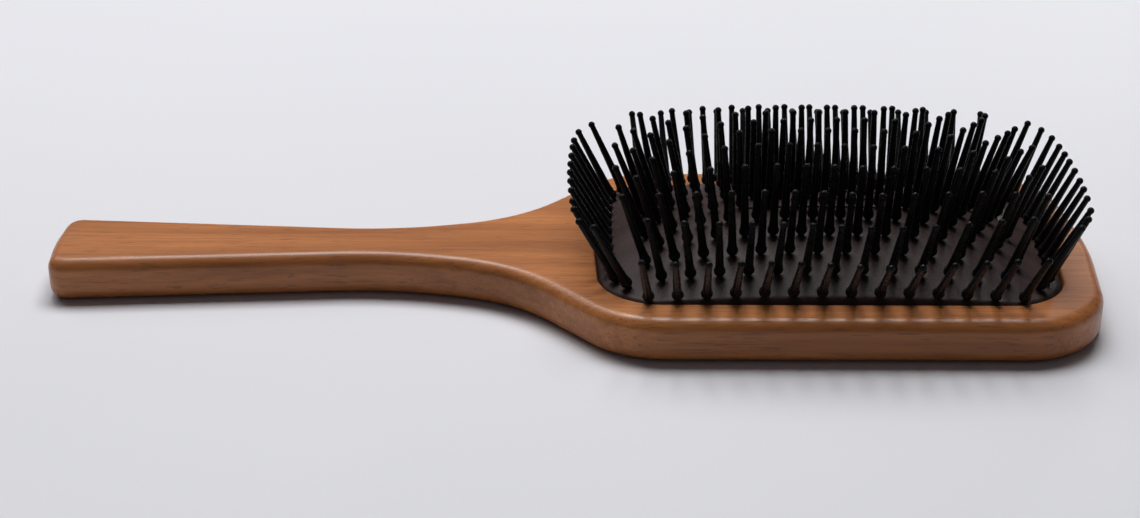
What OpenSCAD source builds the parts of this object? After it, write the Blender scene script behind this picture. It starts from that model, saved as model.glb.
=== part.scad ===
// Pneumatic paddle hairbrush. It lies on its back with the pins up: X runs from the butt of
// the handle to the free end of the head, Y across it, and Z up from what it lies on.

/* [Wooden body] */
// Length over all
total_length = 255; // [210:1:306]
// Width of the head
head_width = 86.5; // [72:0.5:104]
// Thickness of the wood
body_thickness = 10.8; // [9:0.1:15]
// Radius of the rounded edges
edge_radius = 3.1; // [2:0.1:4.4]
// Length of the head, from its free end to the corner of its shoulders
head_length = 116.5; // [97:0.5:140]
// Radius of the corners at the free end of the head
head_corner_radius = 21; // [12:0.5:26]
// How far the free end of the head bulges past its corners
head_end_bulge = 4.2; // [1:0.1:5]
// Radius of the shoulders
shoulder_radius = 24.5; // [15:0.5:30]

/* [Handle] */
// Length of the slope from the shoulders down to the neck
shoulder_run = 25; // [20:0.5:32]
// Width where the shoulders' slope meets the neck
neck_flare_width = 29.8; // [24:0.2:36]
// Width at the neck, before its curve is rounded
neck_width = 16.4; // [12:0.2:22]
// Length of the handle's flare, from the slope to the neck
neck_run = 30; // [26:0.5:40]
// Width across the corners of the butt
butt_width = 27.3; // [20:0.1:34]
// Radius of the butt's corners
butt_corner_radius = 4.5; // [4.5:0.1:11]
// How far the butt bulges past its corners
butt_bulge = 1.1; // [0.5:0.1:3]

/* [Pocket] */
// Width of the wooden rim along the pocket's sides
rim_width = 9.4; // [7:0.1:14]
// Width of the wooden rim at the free end of the head
end_rim_width = 9.9; // [7:0.1:14]
// Length of the pocket's mouth
pocket_length = 112; // [93:0.5:135]
// Radius of the corners of the pocket's mouth
pocket_corner_radius = 15; // [11:0.5:20]
// How far each end of the pocket bulges past its corners
pocket_end_bulge = 1.5; // [0.5:0.1:3]
// Depth of the pocket
pocket_depth = 6.3; // [5.2:0.1:7.6]
// Thickness of the lip over the groove that holds the cushion
lip_thickness = 2.4; // [1.6:0.1:3]
// How far the groove reaches under the lip
groove_reach = 1.8; // [1.2:0.1:3]

/* [Cushion] */
// Thickness of the rubber
rubber_thickness = 1.4; // [0.9:0.1:1.8]
// Height of the cushion's corners against the front of the wood
edge_height = -1; // [-1.2:0.1:0.2]
// How far the long sides of the cushion swell over its corners, half way along
swell_height = 1.8; // [0.5:0.1:2.5]
// Height of the crown above the swell
crown_height = 8.6; // [5:0.1:11]
// Gap between the rubber and the wood
rubber_gap = 0.3; // [0.2:0.05:0.4]

/* [Pins] */
// Aimed distance between the pins of a row
pin_pitch = 6.7; // [5.5:0.1:9]
// Aimed distance between the pins along the cushion's ends
end_pin_pitch = 4.6; // [4.2:0.1:7]
// Distance of the outer rows from the pocket's long sides
side_inset = 2.1; // [1.9:0.05:4]
// Distance of the end pins from the pocket's ends
end_inset = 4; // [3:0.1:6]
// Distance from the end pins to the longer rows
column_gap = 8.6; // [6:0.1:11]
// Height of a pin above the rubber
pin_length = 20.8; // [15:0.1:25]
// Diameter of the ball on a pin's tip
ball_d = 1.7; // [1.4:0.05:2.2]
// Diameter of the shaft under the ball
shaft_tip_d = 1.35; // [1:0.05:1.4]
// Diameter of the shaft over the bulb
shaft_base_d = 2.05; // [1.5:0.05:2.2]
// Diameter of the bulb that sits on the rubber
bulb_d = 2.85; // [2.3:0.05:3]
// Height of the bulb's taper, from its middle to the shaft
bulb_taper = 2.3; // [1.5:0.1:4]
// Diameter of the neck that passes through the rubber
neck_d = 1.3; // [0.9:0.05:1.5]
// Diameter of the flat head inside the cushion
pin_head_d = 2.2; // [1.9:0.05:2.4]
// Thickness of the flat head
pin_head_t = 0.7; // [0.5:0.05:1]
// Lean of the pins over the pocket's long sides, in degrees
side_lean = 49; // [20:1:52]
// Lean along the brush that the rows of pins grow towards at their ends, in degrees
row_end_lean = 35; // [15:1:38]
// Lean of the end pins towards the handle, in degrees
heel_lean = 31; // [15:1:38]
// Lean of the end pins towards the free end of the head, in degrees
toe_lean = 26; // [15:1:38]
// Lean of the end pins over the pocket's corners, in degrees
corner_lean = 17; // [0:1:25]
// How much single pins stand off the common lean, in degrees
pin_scatter = 1.5; // [0:0.1:2.5]

/* [Hidden] */

WOOD = [0.66, 0.45, 0.30];
RUBBER = [0.24, 0.19, 0.19];
NYLON = [0.05, 0.05, 0.055];

// Largest turn between two points of a rounded corner, in degrees
facet_turn = 7.5;
// Longest straight step along the cushion's outline
facet_step = 9;

// Heights above the table
groove_clearance = 0.2;
groove_height = rubber_thickness + groove_clearance;
groove_top = body_thickness - lip_thickness;
groove_floor = groove_top - groove_height;
pocket_floor = body_thickness - pocket_depth;
flange_top = groove_top - groove_clearance / 2;
flange_floor = flange_top - rubber_thickness;

// The pocket, whose middle is pocket_x along the brush
pocket_width = head_width - 2 * rim_width;
pocket_x = total_length / 2 - end_rim_width - pocket_length / 2;

// The rows of pins: row 1 is at -Y, and every second row has one pin less and is staggered
row_count = 11;
middle_row = (row_count + 1) / 2;
row_spacing = (pocket_width - 2 * side_inset) / (row_count - 1);
row_length = pocket_length - 2 * (end_inset + column_gap);
long_row_pins = round(row_length / pin_pitch) + 1;
row_pitch = row_length / (long_row_pins - 1);

// How a pin goes through the rubber
hole_clearance = 0.15;
bulb_lift = 0.3;
head_gap = 0.8;
bulb_top_angle = 32;
bulb_facets = 5;
ball_facets = 6;

// ---- outlines -------------------------------------------------------------------------

function unit(v) = v / norm(v);
function spot(p) = [p[0], p[1]];

// Steps in a rounded corner that turns by sweep degrees
function corner_steps(sweep) = max(2, ceil(abs(sweep) / facet_turn));

// Points round one corner of an anticlockwise outline, each as [x, y, outward normal]
function corner_points(before, at, after, r) =
    let (
        u = unit(spot(before) - spot(at)),
        w = unit(spot(after) - spot(at)),
        half = acos(u * w) / 2,
        side = sign(cross(-u, w)),
        centre = spot(at) + unit(u + w) * r / sin(half),
        start = spot(at) + u * r / tan(half) - centre,
        sweep = side * (180 - 2 * half),
        from = atan2(start[1], start[0]),
        n = corner_steps(sweep)
    )
    [for (i = [0 : n])
        let (a = from + sweep * i / n, d = [cos(a), sin(a)])
        concat(centre + r * d, side * d)];

// The outline through a closed list of corners, each given as [x, y, radius]
function rounded(corners) =
    let (n = len(corners))
    [for (i = [0 : n - 1])
        each corner_points(
            corners[(i + n - 1) % n], corners[i], corners[(i + 1) % n], corners[i][2])];

// Steps in the corner at an end's apex
function apex_steps(bulge, width) = corner_steps(2 * atan2(bulge, width / 2));

// How much a shallow corner loses when it is rounded
function rounding_loss(rise, run, r) = r * (1 / cos(atan2(rise, run)) - 1);

function flipped(corners) =
    [for (i = [len(corners) - 1 : -1 : 0]) [corners[i][0], -corners[i][1], corners[i][2]]];

// An outline moved inwards by d along its normals, as plain points
function inset(outline, d) = [for (p = outline) [p[0] - d * p[2], p[1] - d * p[3]]];

// The outline of the wooden body
end_apex_radius = 110;
butt_apex_radius = 60;
neck_radius = 96;
flare_radius = 42;
shoulder_x = total_length / 2 - head_length;
flare_x = shoulder_x - shoulder_run;
neck_x = flare_x - neck_run;
head_apex_x = total_length / 2
    + rounding_loss(head_end_bulge, head_width / 2, end_apex_radius);
butt_apex_x = -total_length / 2
    - rounding_loss(butt_bulge, butt_width / 2, butt_apex_radius);
side_corners = [
    [head_apex_x - head_end_bulge, head_width / 2, head_corner_radius],
    [shoulder_x, head_width / 2, shoulder_radius],
    [flare_x, neck_flare_width / 2, flare_radius],
    [neck_x, neck_width / 2, neck_radius],
    [butt_apex_x + butt_bulge, butt_width / 2, butt_corner_radius]
];
body_outline = rounded(concat(
    [[head_apex_x, 0, end_apex_radius]],
    side_corners,
    [[butt_apex_x, 0, butt_apex_radius]],
    flipped(side_corners)));

// The outline of the pocket's mouth, round its own middle
pocket_apex_radius = 150;
pocket_apex_x = pocket_length / 2
    + rounding_loss(pocket_end_bulge, pocket_width / 2, pocket_apex_radius);
pocket_corner_x = pocket_apex_x - pocket_end_bulge;
pocket_outline = rounded([
    [pocket_apex_x, 0, pocket_apex_radius],
    [pocket_corner_x, pocket_width / 2, pocket_corner_radius],
    [-pocket_corner_x, pocket_width / 2, pocket_corner_radius],
    [-pocket_apex_x, 0, pocket_apex_radius],
    [-pocket_corner_x, -pocket_width / 2, pocket_corner_radius],
    [pocket_corner_x, -pocket_width / 2, pocket_corner_radius]
]);

// ---- solids made of rings ---------------------------------------------------------------

// A ring is a list of points at one height. These solids go through rings of equal length.
function ring(points, z) = [for (p = points) [p[0], p[1], z]];

function strip(lower, upper, n) =
    [for (i = [0 : n - 1])
        let (j = (i + 1) % n)
        each [
            [lower * n + i, upper * n + i, upper * n + j],
            [lower * n + i, upper * n + j, lower * n + j]
        ]];

// A flat end across a ring that is the same on both sides of Y = 0. Its rungs join each
// point to its mirror image, and first_steps is the number of steps in its first corner.
function reversed(t) = [for (i = [len(t) - 1 : -1 : 0]) t[i]];
function different(t) = t[0] != t[1] && t[1] != t[2] && t[2] != t[0];
function flat_end(base, n, first_steps, up) =
    [for (i = [ceil(first_steps / 2) : floor((n + first_steps) / 2) - 1])
        let (
            j = i + 1,
            across_i = (first_steps - i + n) % n,
            across_j = (first_steps - j + n) % n
        )
        for (t = [[i, j, across_j], [i, across_j, across_i]])
            if (different(t))
                [for (v = up ? reversed(t) : t) base + v]];

// A solid with flat ends, through rings that are listed from the bottom up
module ring_stack(rings, first_steps) {
    n = len(rings[0]);
    last = len(rings) - 1;
    polyhedron(
        points = [for (r = rings) each r],
        faces = concat(
            flat_end(0, n, first_steps, false),
            [for (k = [0 : last - 1]) each strip(k, k + 1, n)],
            flat_end(last * n, n, first_steps, true)));
}

// A closed shell: its rings run from its hem, outside, up to a top point, and back inside
module ring_shell(outer, top, inner, inner_top) {
    n = len(outer[0]);
    a = len(outer);
    b = len(inner);
    tip = (a + b) * n;
    polyhedron(
        points = concat([for (r = outer) each r], [for (r = inner) each r], [top, inner_top]),
        faces = concat(
            [for (k = [0 : a - 2]) each strip(k, k + 1, n)],
            [for (i = [0 : n - 1]) [(a - 1) * n + i, tip, (a - 1) * n + (i + 1) % n]],
            [for (i = [0 : n - 1]) [a * n + (i + 1) % n, tip + 1, a * n + i]],
            [for (k = [a : a + b - 2]) each strip(k, k + 1, n)],
            strip(a + b - 1, 0, n)));
}

// ---- wooden body ----------------------------------------------------------------------

edge_steps = 5;

// The rings of a plate with rounded edges
function plate_rings(outline, thickness, r) = concat(
    [for (i = [0 : edge_steps])
        let (a = 90 * i / edge_steps)
        ring(inset(outline, r * (1 - sin(a))), r * (1 - cos(a)))],
    [for (i = [0 : edge_steps])
        let (a = 90 * i / edge_steps)
        ring(inset(outline, r * (1 - cos(a))), thickness - r * (1 - sin(a)))]);

module wooden_body() {
    overcut = 1;
    color(WOOD) difference() {
        ring_stack(
            plate_rings(body_outline, body_thickness, edge_radius),
            apex_steps(head_end_bulge, head_width));
        translate([pocket_x, 0, pocket_floor])
            linear_extrude(pocket_depth + overcut)
                polygon(inset(pocket_outline, 0));
        translate([pocket_x, 0, groove_floor])
            linear_extrude(groove_height)
                polygon(inset(pocket_outline, -groove_reach));
    }
}

// ---- cushion --------------------------------------------------------------------------

side_power = 1.7;
end_power = 2.9;

// Height of the rubber's outside at a place counted from the pocket's middle
function share(p, half_size) = min(1, abs(p) / half_size);
function cushion_z(x, y) =
    let (u = share(x, pocket_length / 2), v = share(y, pocket_width / 2))
    body_thickness + edge_height + swell_height * (1 - pow(u, 2))
        + crown_height * (1 - pow(u, end_power)) * (1 - pow(v, side_power));

// The pocket's outline with points added along its straight stretches
function stepped(outline) =
    let (n = len(outline))
    [for (i = [0 : n - 1])
        let (
            p = outline[i],
            q = outline[(i + 1) % n],
            steps = max(1, ceil(norm(spot(q) - spot(p)) / facet_step))
        )
        for (k = [0 : steps - 1]) p + (q - p) * k / steps];

cushion_outline = stepped(pocket_outline);

// A ring on the rubber's surface, at a depth under it
function draped(points, depth) =
    [for (p = points) [p[0], p[1], cushion_z(p[0], p[1]) - depth]];
function shrunk(points, k) = [for (p = points) [p[0] * k, p[1] * k]];

module rubber_cushion() {
    flange_reach = groove_reach - rubber_gap;
    wall_inside = rubber_gap + rubber_thickness;
    roll = 0.5;
    ring_scales = [0.94, 0.87, 0.78, 0.66, 0.52, 0.36, 0.18];
    color(RUBBER) translate([pocket_x, 0, 0]) difference() {
        ring_shell(
            concat(
                [
                    ring(inset(cushion_outline, wall_inside), flange_floor),
                    ring(inset(cushion_outline, -flange_reach), flange_floor),
                    ring(inset(cushion_outline, -flange_reach), flange_top),
                    ring(inset(cushion_outline, rubber_gap), flange_top),
                    ring(
                        inset(cushion_outline, rubber_gap), body_thickness + edge_height - roll),
                    draped(inset(cushion_outline, rubber_gap + roll), 0)
                ],
                [for (k = ring_scales) draped(shrunk(cushion_outline, k), 0)]),
            [0, 0, cushion_z(0, 0)],
            concat(
                [for (i = [len(ring_scales) - 1 : -1 : 1])
                    draped(shrunk(cushion_outline, ring_scales[i]), rubber_thickness)],
                [
                    draped(inset(cushion_outline, wall_inside + roll), rubber_thickness),
                    ring(inset(cushion_outline, wall_inside), body_thickness - lip_thickness / 2)
                ]),
            [0, 0, cushion_z(0, 0) - rubber_thickness]);
        for (p = all_pins)
            on_cushion(p)
                translate([0, 0, -2 * rubber_thickness])
                    cylinder(d = neck_d + 2 * hole_clearance, h = 3 * rubber_thickness, $fn = 24);
    }
}

// ---- pins -----------------------------------------------------------------------------

// A pin's place is [x, y, lean along X, lean along Y], counted from the pocket's middle. The
// rows fan out towards the pocket's sides and ends, and less of both where the two meet.
function row_lean(x, y) =
    let (u = share(x, pocket_length / 2), v = share(y, pocket_width / 2))
    [
        sign(x) * row_end_lean * pow(u, 2) * (1 - 0.76 * pow(v, 2.5)),
        sign(y) * side_lean * pow(v, 1.4) * max(0, 1 - 2 * pow(u, 3) * (1 - pow(v, 3)))
    ];
function end_lean(x, y) =
    let (v = share(y, pocket_width / 2))
    [
        (x < 0 ? -heel_lean : toe_lean) * (1 - 0.3 * pow(v, 2)),
        sign(y) * corner_lean * v
    ];

// A small lean of each pin's own, the same on both sides of the brush
function scatter(x, y) =
    pin_scatter * [sin(47 * x + 83 * abs(y)), sign(y) * sin(61 * x + 29 * abs(y))];

function pins_in_row(k) = k % 2 == 1 ? long_row_pins : long_row_pins - 1;
function row_y(k) = (k - middle_row) * row_spacing;
function row_pins(k) =
    [for (i = [0 : pins_in_row(k) - 1])
        let (x = (i - (pins_in_row(k) - 1) / 2) * row_pitch, y = row_y(k))
        concat([x, y], row_lean(x, y) + scatter(x, y))];

// The end pins follow the pocket's end, half way round each of its corners
end_corner_turn = 45;
end_arc_r = pocket_corner_radius - end_inset;
end_straight = pocket_width / 2 - pocket_corner_radius;
end_path = 2 * (end_straight + end_arc_r * end_corner_turn * PI / 180);
end_pin_count = round(end_path / end_pin_pitch) + 1;
function end_pins(side) =
    [for (i = [0 : end_pin_count - 1])
        let (
            t = end_path * (i / (end_pin_count - 1) - 0.5),
            a = max(0, abs(t) - end_straight) / end_arc_r * 180 / PI,
            y = sign(t) * (min(abs(t), end_straight) + end_arc_r * sin(a)),
            bow = pocket_end_bulge * pow(share(y, pocket_width / 2), 2),
            x = side * (pocket_length / 2 - end_inset - bow - end_arc_r * (1 - cos(a)))
        )
        concat([x, y], end_lean(x, y) + scatter(x, y))];

all_pins = concat(
    [for (k = [1 : row_count]) each row_pins(k)], end_pins(-1), end_pins(1));

// Puts its child on the rubber at a pin's place, standing along the pin
module on_cushion(p) {
    d = unit([tan(p[2]), tan(p[3]), 1]);
    translate([p[0], p[1], cushion_z(p[0], p[1])])
        rotate([0, acos(d[2]), atan2(d[1], d[0])])
            children();
}

// One pin: flat head, neck, drop-shaped bulb, tapered shaft and ball tip, with the rubber's
// outside at 0
module pin() {
    head_z = -(rubber_thickness + head_gap);
    bulb_z = bulb_lift + bulb_d / 2;
    ball_z = pin_length - ball_d / 2;
    bulb_from = acos(neck_d / bulb_d);
    ball_from = -acos(shaft_tip_d / ball_d);
    rotate_extrude($fn = 24)
        polygon(concat(
            [
                [0, head_z - pin_head_t],
                [pin_head_d / 2, head_z - pin_head_t],
                [pin_head_d / 2, head_z],
                [neck_d / 2, head_z]
            ],
            [for (i = [0 : bulb_facets])
                let (a = -bulb_from + (bulb_top_angle + bulb_from) * i / bulb_facets)
                [cos(a) * bulb_d / 2, bulb_z + sin(a) * bulb_d / 2]],
            [[shaft_base_d / 2, bulb_z + bulb_taper]],
            [for (i = [0 : ball_facets])
                let (a = ball_from + (90 - ball_from) * i / ball_facets)
                [cos(a) * ball_d / 2, ball_z + sin(a) * ball_d / 2]]));
}

module set_pins(places) {
    color(NYLON) translate([pocket_x, 0, 0])
        for (p = places)
            on_cushion(p) pin();
}

module pin_row(k) {
    set_pins(row_pins(k));
}

module heel_pins() {
    set_pins(end_pins(-1));
}

module toe_pins() {
    set_pins(end_pins(1));
}

// ---- the brush ------------------------------------------------------------------------

wooden_body();
rubber_cushion();
pin_row(1);  // pin_row_01
pin_row(2);  // pin_row_02
pin_row(3);  // pin_row_03
pin_row(4);  // pin_row_04
pin_row(5);  // pin_row_05
pin_row(6);  // pin_row_06
pin_row(7);  // pin_row_07
pin_row(8);  // pin_row_08
pin_row(9);  // pin_row_09
pin_row(10);  // pin_row_10
pin_row(11);  // pin_row_11
heel_pins();
toe_pins();
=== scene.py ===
"""Pneumatic paddle hairbrush: lacquered wooden body, rubber cushion and ball-tipped nylon pins.

It lies on its back in the CAD frame, in metres: X along the brush towards the free end of the
head, Y across it, Z up. The pins are the CAD nodes; the wood and the rubber are new surfaces.
"""
import math

import bpy
import numpy as np
from mathutils import Matrix, Vector
from mathutils.geometry import tessellate_polygon


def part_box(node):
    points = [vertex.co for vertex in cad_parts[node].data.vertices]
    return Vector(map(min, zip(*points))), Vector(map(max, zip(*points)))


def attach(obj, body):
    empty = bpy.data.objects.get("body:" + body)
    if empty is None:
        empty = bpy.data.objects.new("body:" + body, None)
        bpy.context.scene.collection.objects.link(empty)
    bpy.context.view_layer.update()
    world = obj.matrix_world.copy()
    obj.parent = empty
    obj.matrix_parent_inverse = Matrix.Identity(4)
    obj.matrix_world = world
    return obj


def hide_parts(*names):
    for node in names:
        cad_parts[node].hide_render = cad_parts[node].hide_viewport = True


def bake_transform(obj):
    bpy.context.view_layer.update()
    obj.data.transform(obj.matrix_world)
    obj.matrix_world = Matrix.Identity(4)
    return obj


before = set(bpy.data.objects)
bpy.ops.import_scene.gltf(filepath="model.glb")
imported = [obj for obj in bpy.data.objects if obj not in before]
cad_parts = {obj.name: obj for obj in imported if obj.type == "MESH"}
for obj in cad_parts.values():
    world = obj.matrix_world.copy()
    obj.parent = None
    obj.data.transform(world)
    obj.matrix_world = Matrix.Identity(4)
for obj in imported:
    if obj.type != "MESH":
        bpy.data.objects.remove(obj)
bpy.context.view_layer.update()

MM = 0.001


# ---- sizes, in metres -------------------------------------------------------------------------

wood_low, wood_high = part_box("wooden_body")
HEAD_WIDTH = wood_high.y - wood_low.y
WOOD_TOP = wood_high.z

EDGE_RADIUS = 3.1 * MM
HEAD_LENGTH = 116.5 * MM
HEAD_BULGE = 4.2 * MM
HEAD_APEX_RADIUS = 110 * MM
HEAD_CORNER_RADIUS = 21 * MM
SHOULDER_RADIUS = 24.5 * MM
SHOULDER_RUN = 25 * MM
FLARE_WIDTH = 29.8 * MM
FLARE_RADIUS = 42 * MM
NECK_RUN = 30 * MM
NECK_WIDTH = 16.4 * MM
NECK_RADIUS = 96 * MM
BUTT_WIDTH = 27.3 * MM
BUTT_CORNER_RADIUS = 4.5 * MM
BUTT_BULGE = 1.1 * MM
BUTT_APEX_RADIUS = 60 * MM

RIM_WIDTH = 9.4 * MM
END_RIM_WIDTH = 9.9 * MM
POCKET_LENGTH = 112 * MM
POCKET_WIDTH = HEAD_WIDTH - 2 * RIM_WIDTH
POCKET_CORNER_RADIUS = 15 * MM
POCKET_BULGE = 1.5 * MM
POCKET_APEX_RADIUS = 150 * MM
POCKET_DEPTH = 6.3 * MM
POCKET_X = wood_high.x - END_RIM_WIDTH - POCKET_LENGTH / 2
MOUTH_RADIUS = 0.5 * MM
LIP = 2.4 * MM
GROOVE_REACH = 1.8 * MM

RUBBER = 1.4 * MM
GROOVE_CLEARANCE = 0.2 * MM
GROOVE_HEIGHT = RUBBER + GROOVE_CLEARANCE
RUBBER_GAP = 0.3 * MM
CUSHION_EDGE = -1.0 * MM
SWELL = 1.8 * MM
CROWN = 8.6 * MM
SIDE_POWER = 1.7
END_POWER = 2.9
EDGE_ROLL = 0.9 * MM
DIMPLE_DEPTH = 0.1 * MM
DIMPLE_REACH = 1.4 * MM

PIN_NODES = [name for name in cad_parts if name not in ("wooden_body", "rubber_cushion")]
PIN_HEAD = 0.7 * MM
HEAD_GAP = 0.8 * MM
PIN_BELOW_RUBBER = RUBBER + HEAD_GAP + PIN_HEAD

WOOD_STEP = 0.7 * MM
RUBBER_STEP = 0.62 * MM
CROWN_RINGS = 60
LINING_RINGS = 24
LAST_RING = 0.985  # share of the way from the edge to the spine
FLOOR_REACH = 3.0

# ---- outlines -----------------------------------------------------------------------------------


def unit(v):
    """v at length 1."""
    return v / np.linalg.norm(v)


def corner_arc(before, at, after, steps=48):
    """The arc that rounds one corner: its centre lies on the corner's bisector, at the radius
    over the sine of half the corner's angle, and it runs between its two points of touch.

    Returns rows of [x, y, nx, ny], where n points out of an anticlockwise outline.
    """
    here, radius = np.array(at[:2]), at[2]
    u, w = unit(np.array(before[:2]) - here), unit(np.array(after[:2]) - here)
    half = math.acos(np.clip(u @ w, -1, 1)) / 2
    side = np.sign(-u[0] * w[1] + u[1] * w[0])
    centre = here + unit(u + w) * radius / math.sin(half)
    start = here + u * radius / math.tan(half) - centre
    sweep = side * (math.pi - 2 * half)
    angle = math.atan2(start[1], start[0]) + np.linspace(0, sweep, steps)
    way = np.stack([np.cos(angle), np.sin(angle)], 1)
    return np.hstack([centre + radius * way, side * way])


def outline(corners, spacing):
    """The closed line through corners [x, y, radius], every corner rounded by its arc, and
    points set evenly along its length about spacing apart.

    Returns (points, outward normals), both n by 2.
    """
    around = zip(corners[-1:] + corners[:-1], corners, corners[1:] + corners[:1])
    line = np.vstack([corner_arc(*three) for three in around])
    line = np.vstack([line, line[:1]])
    run = np.r_[0, np.cumsum(np.linalg.norm(np.diff(line[:, :2], axis=0), axis=1))]
    at = np.linspace(0, run[-1], round(run[-1] / spacing) + 1)[:-1]
    even = np.stack([np.interp(at, run, column) for column in line.T], 1)
    normals = even[:, 2:] / np.linalg.norm(even[:, 2:], axis=1, keepdims=True)
    return even[:, :2], normals


def both_sides(side, first, last):
    """Corners of an outline that is the same on both sides of Y = 0, from one side's corners."""
    return [first] + side + [last] + [(x, -y, r) for x, y, r in reversed(side)]


def rounding_loss(rise, run, radius):
    """What a shallow corner loses when it is rounded: radius times (1 / cos of its slope - 1)."""
    return radius * (1 / math.cos(math.atan2(rise, run)) - 1)


def body_corners():
    """The wooden body: butt, neck, flare, shoulders and the free end of the head."""
    shoulder = wood_high.x - HEAD_LENGTH
    flare = shoulder - SHOULDER_RUN
    head_tip = wood_high.x + rounding_loss(HEAD_BULGE, HEAD_WIDTH / 2, HEAD_APEX_RADIUS)
    butt_tip = wood_low.x - rounding_loss(BUTT_BULGE, BUTT_WIDTH / 2, BUTT_APEX_RADIUS)
    side = [
        (head_tip - HEAD_BULGE, HEAD_WIDTH / 2, HEAD_CORNER_RADIUS),
        (shoulder, HEAD_WIDTH / 2, SHOULDER_RADIUS),
        (flare, FLARE_WIDTH / 2, FLARE_RADIUS),
        (flare - NECK_RUN, NECK_WIDTH / 2, NECK_RADIUS),
        (butt_tip + BUTT_BULGE, BUTT_WIDTH / 2, BUTT_CORNER_RADIUS),
    ]
    return both_sides(side, (head_tip, 0, HEAD_APEX_RADIUS), (butt_tip, 0, BUTT_APEX_RADIUS))


def pocket_corners():
    """The pocket's mouth, a rectangle with round corners and slightly bulging ends."""
    tip = POCKET_LENGTH / 2 + rounding_loss(POCKET_BULGE, POCKET_WIDTH / 2, POCKET_APEX_RADIUS)
    end = tip - POCKET_BULGE
    side = [
        (POCKET_X + end, POCKET_WIDTH / 2, POCKET_CORNER_RADIUS),
        (POCKET_X - end, POCKET_WIDTH / 2, POCKET_CORNER_RADIUS),
    ]
    return both_sides(
        side, (POCKET_X + tip, 0, POCKET_APEX_RADIUS), (POCKET_X - tip, 0, POCKET_APEX_RADIUS))


# ---- meshes ---------------------------------------------------------------------------------------


def carried(points, normals, profile):
    """A profile carried round a closed outline: each profile point (out, z) gives one ring, the
    outline moved along its normals by out, at height z. Returns rings by points by 3."""
    out, z = np.array(profile).T
    flat = points[None] + out[:, None, None] * normals[None]
    return np.dstack([flat, np.broadcast_to(z[:, None], flat.shape[:2])])


def quads_between_rings(rings, around, first=0, flip=False):
    """Quads that join each ring to the next one, all the way round."""
    k, i = np.meshgrid(np.arange(rings - 1), np.arange(around), indexing="ij")
    j = (i + 1) % around
    here, above = k * around + first, (k + 1) * around + first
    quads = np.stack([here + i, here + j, above + j, above + i], -1).reshape(-1, 4)
    return quads[:, ::-1] if flip else quads


def new_piece(name, vertices, faces, material, sharp_degrees=40):
    """An object with this mesh, smooth except over edges sharper than sharp_degrees."""
    mesh = bpy.data.meshes.new(name)
    mesh.from_pydata(vertices.tolist(), [], [list(f) for f in faces])
    mesh.validate()
    mesh.shade_smooth()
    mesh.set_sharp_from_angle(angle=math.radians(sharp_degrees))
    piece = bpy.data.objects.new(name, mesh)
    bpy.context.scene.collection.objects.link(piece)
    mesh.materials.append(material)
    return piece


def quarter(steps):
    """Cosine and sine of a quarter turn in even steps."""
    angle = np.linspace(0, math.pi / 2, steps + 1)
    return np.cos(angle), np.sin(angle)


def plate_profile(radius, thickness, steps=14, shelf=0.5 * MM):
    """From the flat back round to the flat front of a plate: a shelf, a quarter circle, the side,
    a quarter circle and a shelf. The shelves keep the flat faces evenly lit up to the edge."""
    cosine, sine = quarter(steps)
    lower = np.stack([-radius * (1 - sine), radius * (1 - cosine)], 1)
    upper = np.stack([-radius * (1 - cosine), thickness - radius * (1 - sine)], 1)
    return np.vstack([[-radius - shelf, 0], lower, upper, [-radius - shelf, thickness]])


def mouth_profile(steps=6, shelf=0.4 * MM):
    """From the flat front over the mouth's small rounding, down the wall, round the groove under
    the lip and on to the pocket's floor."""
    cosine, sine = quarter(steps)
    rounding = np.stack(
        [MOUTH_RADIUS * (1 - sine), WOOD_TOP - MOUTH_RADIUS * (1 - cosine)], 1)
    groove_top = WOOD_TOP - LIP
    groove = [
        [0, groove_top],
        [GROOVE_REACH, groove_top],
        [GROOVE_REACH, groove_top - GROOVE_HEIGHT],
        [0, groove_top - GROOVE_HEIGHT],
        [0, WOOD_TOP - POCKET_DEPTH],
    ]
    return np.vstack([[MOUTH_RADIUS + shelf, WOOD_TOP], rounding, groove])


def filled(loops, offsets, up):
    """Triangles that fill the flat face between closed loops, the outer loop first."""
    triangles = np.array(tessellate_polygon([[Vector(p) for p in loop] for loop in loops]))
    number = np.concatenate([np.arange(len(loop)) + o for loop, o in zip(loops, offsets)])
    points = np.vstack(loops)
    a, b, c = (points[triangles[:, k]] for k in range(3))
    facing = np.cross(b - a, c - a)[:, 2] > 0
    triangles[facing != up] = triangles[facing != up][:, ::-1]
    return number[triangles]


def wooden_body(material):
    """The edge profile carried round the body's outline and the mouth profile round the pocket's,
    with flat faces filled in between them: the front, the back and the pocket's floor."""
    edge = carried(*outline(body_corners(), WOOD_STEP), plate_profile(EDGE_RADIUS, WOOD_TOP))
    mouth = carried(*outline(pocket_corners(), WOOD_STEP), mouth_profile())
    n, m = edge.shape[1], mouth.shape[1]
    start = edge.shape[0] * n
    top, floor = start - n, start + (mouth.shape[0] - 1) * m
    faces = [
        quads_between_rings(edge.shape[0], n),
        quads_between_rings(mouth.shape[0], m, start),
        filled([edge[0]], [0], up=False),
        filled([edge[-1], mouth[0]], [top, start], up=True),
        filled([mouth[-1]], [floor], up=True),
    ]
    vertices = np.vstack([edge.reshape(-1, 3), mouth.reshape(-1, 3)])
    return new_piece("lacquered_wood", vertices, [f for part in faces for f in part], material)


# ---- cushion ------------------------------------------------------------------------------------


def crown_height(x, y):
    """Height of the rubber's outside: a swell that falls off with the square of the distance from
    the middle of its length, and a crown that falls off with a power of it and with a lower power
    of the distance from the long axis."""
    across = np.minimum(1, np.abs(y) / (POCKET_WIDTH / 2))
    along = np.minimum(1, np.abs(x - POCKET_X) / (POCKET_LENGTH / 2))
    swell = SWELL * (1 - along ** 2)
    crown = CROWN * (1 - along ** END_POWER) * (1 - across ** SIDE_POWER)
    return WOOD_TOP + CUSHION_EDGE + swell + crown


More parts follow.
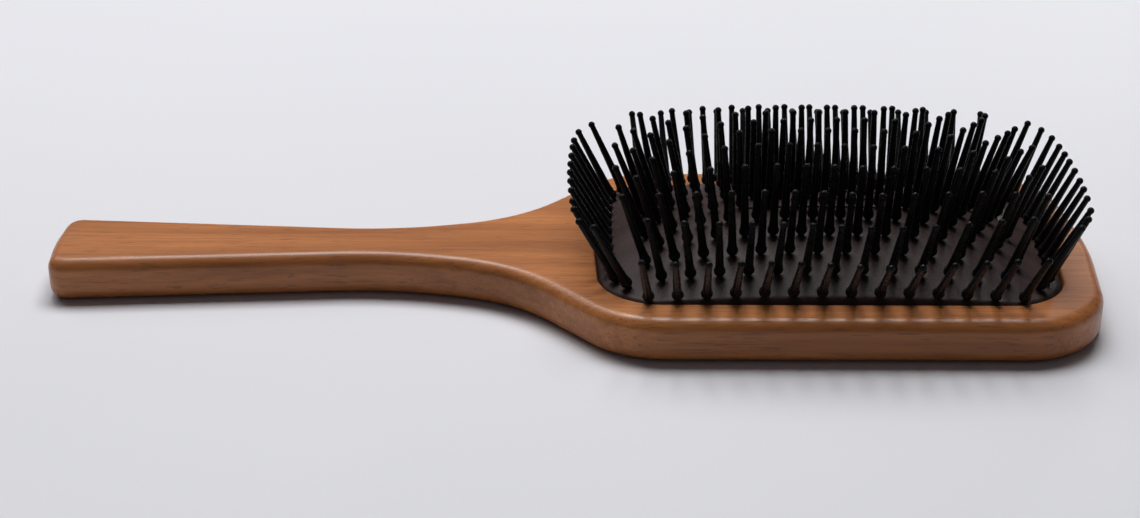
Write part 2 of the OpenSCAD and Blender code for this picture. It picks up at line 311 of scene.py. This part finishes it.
def pin_feet():
    """Where each pin's axis goes through the rubber, n by 2.

    A pin is one connected patch of its node's mesh. Its axis is the direction in which its points
    spread most, and its foot lies PIN_BELOW_RUBBER along it from its lower end."""
    feet = []
    for name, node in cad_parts.items():
        if name not in PIN_NODES:
            continue
        mesh = node.data
        place = np.empty(len(mesh.vertices) * 3)
        mesh.vertices.foreach_get("co", place)
        place, same = np.unique(place.reshape(-1, 3).round(6), axis=0, return_inverse=True)
        edge = np.empty(len(mesh.edges) * 2, dtype=int)
        mesh.edges.foreach_get("vertices", edge)
        pin = joined(len(place), same.reshape(-1)[edge.reshape(-1, 2)])
        for k in np.unique(pin):
            patch = place[pin == k]
            middle = patch.mean(0)
            axis = np.linalg.svd(patch - middle, full_matrices=False)[2][0]
            axis = axis * np.sign(axis[2])
            foot = middle + axis * (((patch - middle) @ axis).min() + PIN_BELOW_RUBBER)
            feet.append(foot[:2])
    return np.array(feet)


def joined(count, edges):
    """The lowest point number that each of count points is joined to, through any edges."""
    label = np.arange(count)
    while True:
        low = np.minimum(label[edges[:, 0]], label[edges[:, 1]])
        new = label.copy()
        np.minimum.at(new, edges[:, 0], low)
        np.minimum.at(new, edges[:, 1], low)
        new = new[new]
        if np.array_equal(new, label):
            return label
        label = new


def dimples(x, y, feet):
    """How deep the rubber is drawn in round the pins: a bell curve of the distance from each."""
    away = (x[..., None] - feet[:, 0]) ** 2 + (y[..., None] - feet[:, 1]) ** 2
    return DIMPLE_DEPTH * np.exp(-away / DIMPLE_REACH ** 2).sum(-1)


def drawn_in(edge, shares):
    """The edge drawn towards a spine on the long axis: each point goes straight to its nearest
    point of the spine, by each share from 0 at the edge to 1. Returns shares by points by 2."""
    spine_end = (POCKET_LENGTH - POCKET_WIDTH) / 2
    spine = edge * [1, 0]
    spine[:, 0] = np.clip(edge[:, 0], POCKET_X - spine_end, POCKET_X + spine_end)
    shares = np.asarray(shares)[:, None, None]
    return edge[None] * (1 - shares) + spine[None] * shares


def rubber_cushion(material):
    """A closed shell of rings: over the crown's inside from the long axis to the edge, down the
    inside of the wall, round the hem in the groove, up the wall, over a rolled edge shaped like a
    quarter circle and back over the crown's outside to the long axis."""
    points, normals = outline(pocket_corners(), RUBBER_STEP)
    flange_top = WOOD_TOP - LIP - GROOVE_CLEARANCE / 2
    reach, inside = GROOVE_REACH - RUBBER_GAP, -RUBBER_GAP - RUBBER

    flat = drawn_in(points - RUBBER_GAP * normals, np.linspace(0, LAST_RING, CROWN_RINGS))
    depth = np.linalg.norm(flat - flat[:1], axis=2)
    rolled = np.sqrt(1 - (1 - np.minimum(depth / EDGE_ROLL, 1)) ** 2)
    start = WOOD_TOP + CUSHION_EDGE - EDGE_ROLL / 2
    outside = start + (crown_height(flat[..., 0], flat[..., 1]) - start) * rolled
    outside -= dimples(flat[..., 0], flat[..., 1], pin_feet()) * rolled
    crown = np.dstack([flat, outside])

    inner_edge = points + (inside - EDGE_ROLL) * normals
    flat = drawn_in(inner_edge, np.linspace(LAST_RING, 0, LINING_RINGS))
    lining = np.dstack([flat, crown_height(flat[..., 0], flat[..., 1]) - RUBBER])

    hem = carried(points, normals, [
        [inside, start - EDGE_ROLL],
        [inside, flange_top - RUBBER],
        [reach, flange_top - RUBBER],
        [reach, flange_top],
        [-RUBBER_GAP, flange_top],
    ])
    rings = np.concatenate([lining, hem, crown])
    count, n = rings.shape[:2]
    faces = [
        quads_between_rings(count, n),
        filled([rings[0]], [0], up=False),
        filled([rings[-1]], [(count - 1) * n], up=True),
    ]
    return new_piece(
        "rubber_pad", rings.reshape(-1, 3), [f for part in faces for f in part], material, 60)


# ---- materials ------------------------------------------------------------------------------------


class Nodes:
    """Short calls to lay out a node tree."""

    def __init__(self, tree):
        self.tree = tree

    def add(self, kind, inputs=(), **settings):
        node = self.tree.nodes.new(kind)
        for name, value in settings.items():
            setattr(node, name, value)
        for socket, value in dict(inputs).items():
            self.put(node, socket, value)
        return node

    def put(self, node, socket, value):
        """A value is set on the socket, and another node's output is linked to it."""
        if isinstance(value, bpy.types.NodeSocket):
            self.tree.links.new(value, node.inputs[socket])
        else:
            node.inputs[socket].default_value = value

    def stretched(self, scale):
        """Object coordinates times scale, so that a pattern stretches along the brush."""
        place = self.add("ShaderNodeTexCoord")
        return self.add(
            "ShaderNodeMapping", {"Vector": place.outputs["Object"], "Scale": scale},
        ).outputs["Vector"]

    def noise(self, vector, scale=1.0, detail=3.0, roughness=0.5, distortion=0.0):
        return self.add("ShaderNodeTexNoise", {
            "Vector": vector, "Scale": scale, "Detail": detail,
            "Roughness": roughness, "Distortion": distortion}).outputs["Fac"]

    def range(self, value, low, high, to_low=0.0, to_high=1.0):
        return self.add("ShaderNodeMapRange", {
            "Value": value, "From Min": low, "From Max": high,
            "To Min": to_low, "To Max": to_high}).outputs["Result"]

    def mix(self, factor, a, b, blend="MIX"):
        node = self.add("ShaderNodeMix", data_type="RGBA", blend_type=blend)
        self.put(node, 0, factor)
        self.put(node, 6, a)
        self.put(node, 7, b)
        return node.outputs[2]

    def bump(self, height, strength, depth):
        """The normal that a height between 0 and 1 gives, with relief depth metres deep."""
        return self.add("ShaderNodeBump", {
            "Strength": strength, "Distance": depth, "Height": height}).outputs["Normal"]

    def math(self, operation, a, b=0.0):
        node = self.add("ShaderNodeMath", operation=operation)
        self.put(node, 0, a)
        self.put(node, 1, b)
        return node.outputs[0]


def new_material(name, **principled):
    """A material with its Principled BSDF set up, and the Nodes to lay out the rest."""
    material = bpy.data.materials.new(name)
    material.use_nodes = True
    nodes = Nodes(material.node_tree)
    shader = material.node_tree.nodes["Principled BSDF"]
    for socket, value in principled.items():
        shader.inputs[socket.replace("_", " ")].default_value = value
    return material, nodes, shader


def colour(r, g, b):
    return (r, g, b, 1.0)


def mottle_group():
    """A shared effect: a broad cloud and a fine grain, both from 0 to 1."""
    tree = bpy.data.node_groups.new("mottle", "ShaderNodeTree")
    tree.interface.new_socket("Vector", in_out="INPUT", socket_type="NodeSocketVector")
    for name in ("Cloud Scale", "Grain Scale"):
        tree.interface.new_socket(name, in_out="INPUT", socket_type="NodeSocketFloat")
    for name in ("Cloud", "Grain"):
        tree.interface.new_socket(name, in_out="OUTPUT", socket_type="NodeSocketFloat")
    n = Nodes(tree)
    inside = n.add("NodeGroupInput").outputs
    cloud = n.noise(inside["Vector"], inside["Cloud Scale"], detail=4)
    grain = n.noise(inside["Vector"], inside["Grain Scale"], detail=2)
    n.add("NodeGroupOutput", {"Cloud": n.range(cloud, 0.3, 0.7), "Grain": n.range(grain, 0.3, 0.7)})
    return tree


def wood_material():
    """Medium brown wood under satin lacquer: broad figure, fine lengthwise grain, short pores."""
    dark_figure, pale_figure = colour(0.38, 0.13, 0.036), colour(0.6, 0.225, 0.068)
    dark_grain, pale_grain = colour(0.74, 0.7, 0.67), colour(1.08, 1.08, 1.08)
    pore_colour, pore_strength = colour(0.1, 0.04, 0.018), 0.5
    material, n, shader = new_material(
        "satin_lacquered_wood", IOR=1.45, Specular_IOR_Level=0.3, Coat_Roughness=0.26, Coat_IOR=1.5)
    figure = n.noise(n.stretched((9, 95, 120)), detail=3, distortion=0.8)
    grain = n.noise(n.stretched((30, 700, 700)), detail=5, roughness=0.62)
    pores = n.noise(n.stretched((150, 2600, 2600)), detail=2)
    figured = n.mix(n.range(figure, 0.3, 0.7), dark_figure, pale_figure)
    grained = n.mix(n.range(grain, 0.3, 0.72), dark_grain, pale_grain)
    base = n.mix(1.0, figured, grained, "MULTIPLY")
    between_pores = n.range(pores, 0.33, 0.4)
    in_pores = n.math("MULTIPLY", n.math("SUBTRACT", 1.0, between_pores), pore_strength)
    n.put(shader, "Base Color", n.mix(in_pores, base, pore_colour))
    n.put(shader, "Roughness", n.range(grain, 0.2, 0.8, 0.5, 0.36))
    n.put(shader, "Coat Weight", n.range(figure, 0.2, 0.8, 0.36, 0.5))
    height = n.math("ADD", n.math("MULTIPLY", grain, 0.6), n.math("MULTIPLY", between_pores, 0.4))
    n.put(shader, "Normal", n.bump(height, strength=0.1, depth=0.2 * MM))
    return material


def mottled(n, mottle, cloud_scale, grain_scale):
    """The shared effect over Object coordinates. Returns its cloud and its grain."""
    node = n.add("ShaderNodeGroup", node_tree=mottle)
    n.put(node, "Vector", n.stretched((1, 1, 1)))
    n.put(node, "Cloud Scale", cloud_scale)
    n.put(node, "Grain Scale", grain_scale)
    return node.outputs["Cloud"], node.outputs["Grain"]


def rubber_material(mottle):
    """Soft dark brown-grey rubber with a fine moulded grain."""
    dark_cloud, pale_cloud = colour(0.03, 0.014, 0.014), colour(0.044, 0.023, 0.022)
    grain_colour, grain_strength = colour(0.075, 0.058, 0.057), 0.35
    material, n, shader = new_material(
        "matte_rubber", IOR=1.45, Specular_IOR_Level=0.2, Sheen_Weight=0.04, Sheen_Roughness=0.4)
    cloud, grain = mottled(n, mottle, 60, 1500)
    base = n.mix(cloud, dark_cloud, pale_cloud)
    n.put(shader, "Base Color", n.mix(n.range(grain, 0, 1, 0, grain_strength), base, grain_colour))
    n.put(shader, "Roughness", n.range(cloud, 0, 1, 0.4, 0.52))
    n.put(shader, "Normal", n.bump(grain, strength=0.3, depth=0.1 * MM))
    return material


def nylon_material(mottle):
    """Glossy black moulded nylon with faint flow marks."""
    dark_cloud, pale_cloud = colour(0.005, 0.005, 0.006), colour(0.012, 0.011, 0.012)
    material, n, shader = new_material("glossy_black_nylon", IOR=1.5, Specular_IOR_Level=0.08)
    cloud, grain = mottled(n, mottle, 350, 2400)
    n.put(shader, "Base Color", n.mix(cloud, dark_cloud, pale_cloud))
    n.put(shader, "Roughness", n.range(cloud, 0, 1, 0.22, 0.32))
    n.put(shader, "Normal", n.bump(grain, strength=0.12, depth=0.05 * MM))
    return material


# ---- surroundings -----------------------------------------------------------------------------


def floor(mottle):
    """A plain pale sheet under the brush."""
    dark_cloud, pale_cloud = colour(0.735, 0.735, 0.775), colour(0.76, 0.76, 0.80)
    grain_colour, grain_strength = colour(0.6, 0.6, 0.63), 0.05
    material, n, shader = new_material("pale_paper", Roughness=0.6)
    cloud, grain = mottled(n, mottle, 3, 900)
    paper = n.mix(cloud, dark_cloud, pale_cloud)
    n.put(shader, "Base Color", n.mix(n.range(grain, 0, 1, 0, grain_strength), paper, grain_colour))
    corners = FLOOR_REACH * np.array([[-1, -1, 0], [1, -1, 0], [1, 1, 0], [-1, 1, 0]])
    sheet = new_piece("floor", corners, [[0, 1, 2, 3]], material)


def softbox(name, place, size, watts):
    """A rectangular area light at place that faces the middle of the brush."""
    light = bpy.data.lights.new(name, "AREA")
    light.shape = "RECTANGLE"
    light.size, light.size_y = size
    light.energy = watts
    lamp = bpy.data.objects.new(name, light)
    lamp.location = place
    lamp.rotation_euler = (-Vector(place)).to_track_quat("-Z", "Y").to_euler()
    bpy.context.scene.collection.objects.link(lamp)


def lights():
    """A soft light above and behind, a softer one from the left and a small low one that draws
    the edges on the right, in a faintly blue room."""
    softbox("key", place=(0.0, 0.45, 1.0), size=(0.75, 0.5), watts=11.2)
    softbox("left", place=(-0.9, 0.9, 1.2), size=(0.9, 0.9), watts=6.0)
    softbox("low_right", place=(0.5, 1.18, 0.22), size=(0.2, 0.12), watts=0.9)
    world = bpy.data.worlds.new("studio")
    world.use_nodes = True
    background = world.node_tree.nodes["Background"]
    background.inputs["Color"].default_value = colour(0.9, 0.92, 1.0)
    background.inputs["Strength"].default_value = 0.06
    bpy.context.scene.world = world
    bpy.context.scene.view_settings.view_transform = "Standard"


def camera():
    """Looks down on the front of the brush, with a trace of turn and roll. The focal length is
    in the same unit as the width of the frame."""
    frame_width, focal = 1140, 2050
    distance = 0.520
    elevation, turn, roll = math.radians(26.15), math.radians(0.1), math.radians(0.15)
    target = Vector((-0.00025, 0.0116, 0))
    back = Vector((
        math.sin(turn) * math.cos(elevation),
        -math.cos(turn) * math.cos(elevation),
        math.sin(elevation)))
    lens = bpy.data.cameras.new("camera")
    lens.sensor_width = 36
    lens.lens = focal / frame_width * lens.sensor_width
    lens.clip_start, lens.clip_end = 0.01, 20
    eye = bpy.data.objects.new("camera", lens)
    eye.matrix_world = (
        Matrix.Translation(target + distance * back)
        @ back.to_track_quat("Z", "Y").to_matrix().to_4x4()
        @ Matrix.Rotation(roll, 4, "Z"))
    bpy.context.scene.collection.objects.link(eye)
    bpy.context.scene.camera = eye


# ---- the brush ----------------------------------------------------------------------------------

mottle = mottle_group()
camera()
lights()
floor(mottle)

nylon = nylon_material(mottle)
for name in PIN_NODES:
    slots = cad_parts[name].material_slots
    for slot in slots:
        slot.material = nylon
    if not slots:
        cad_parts[name].data.materials.append(nylon)

wood = wooden_body(wood_material())
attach(wood, "handle")
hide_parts("wooden_body")

pad = rubber_cushion(rubber_material(mottle))
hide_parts("rubber_cushion")
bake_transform(pad)
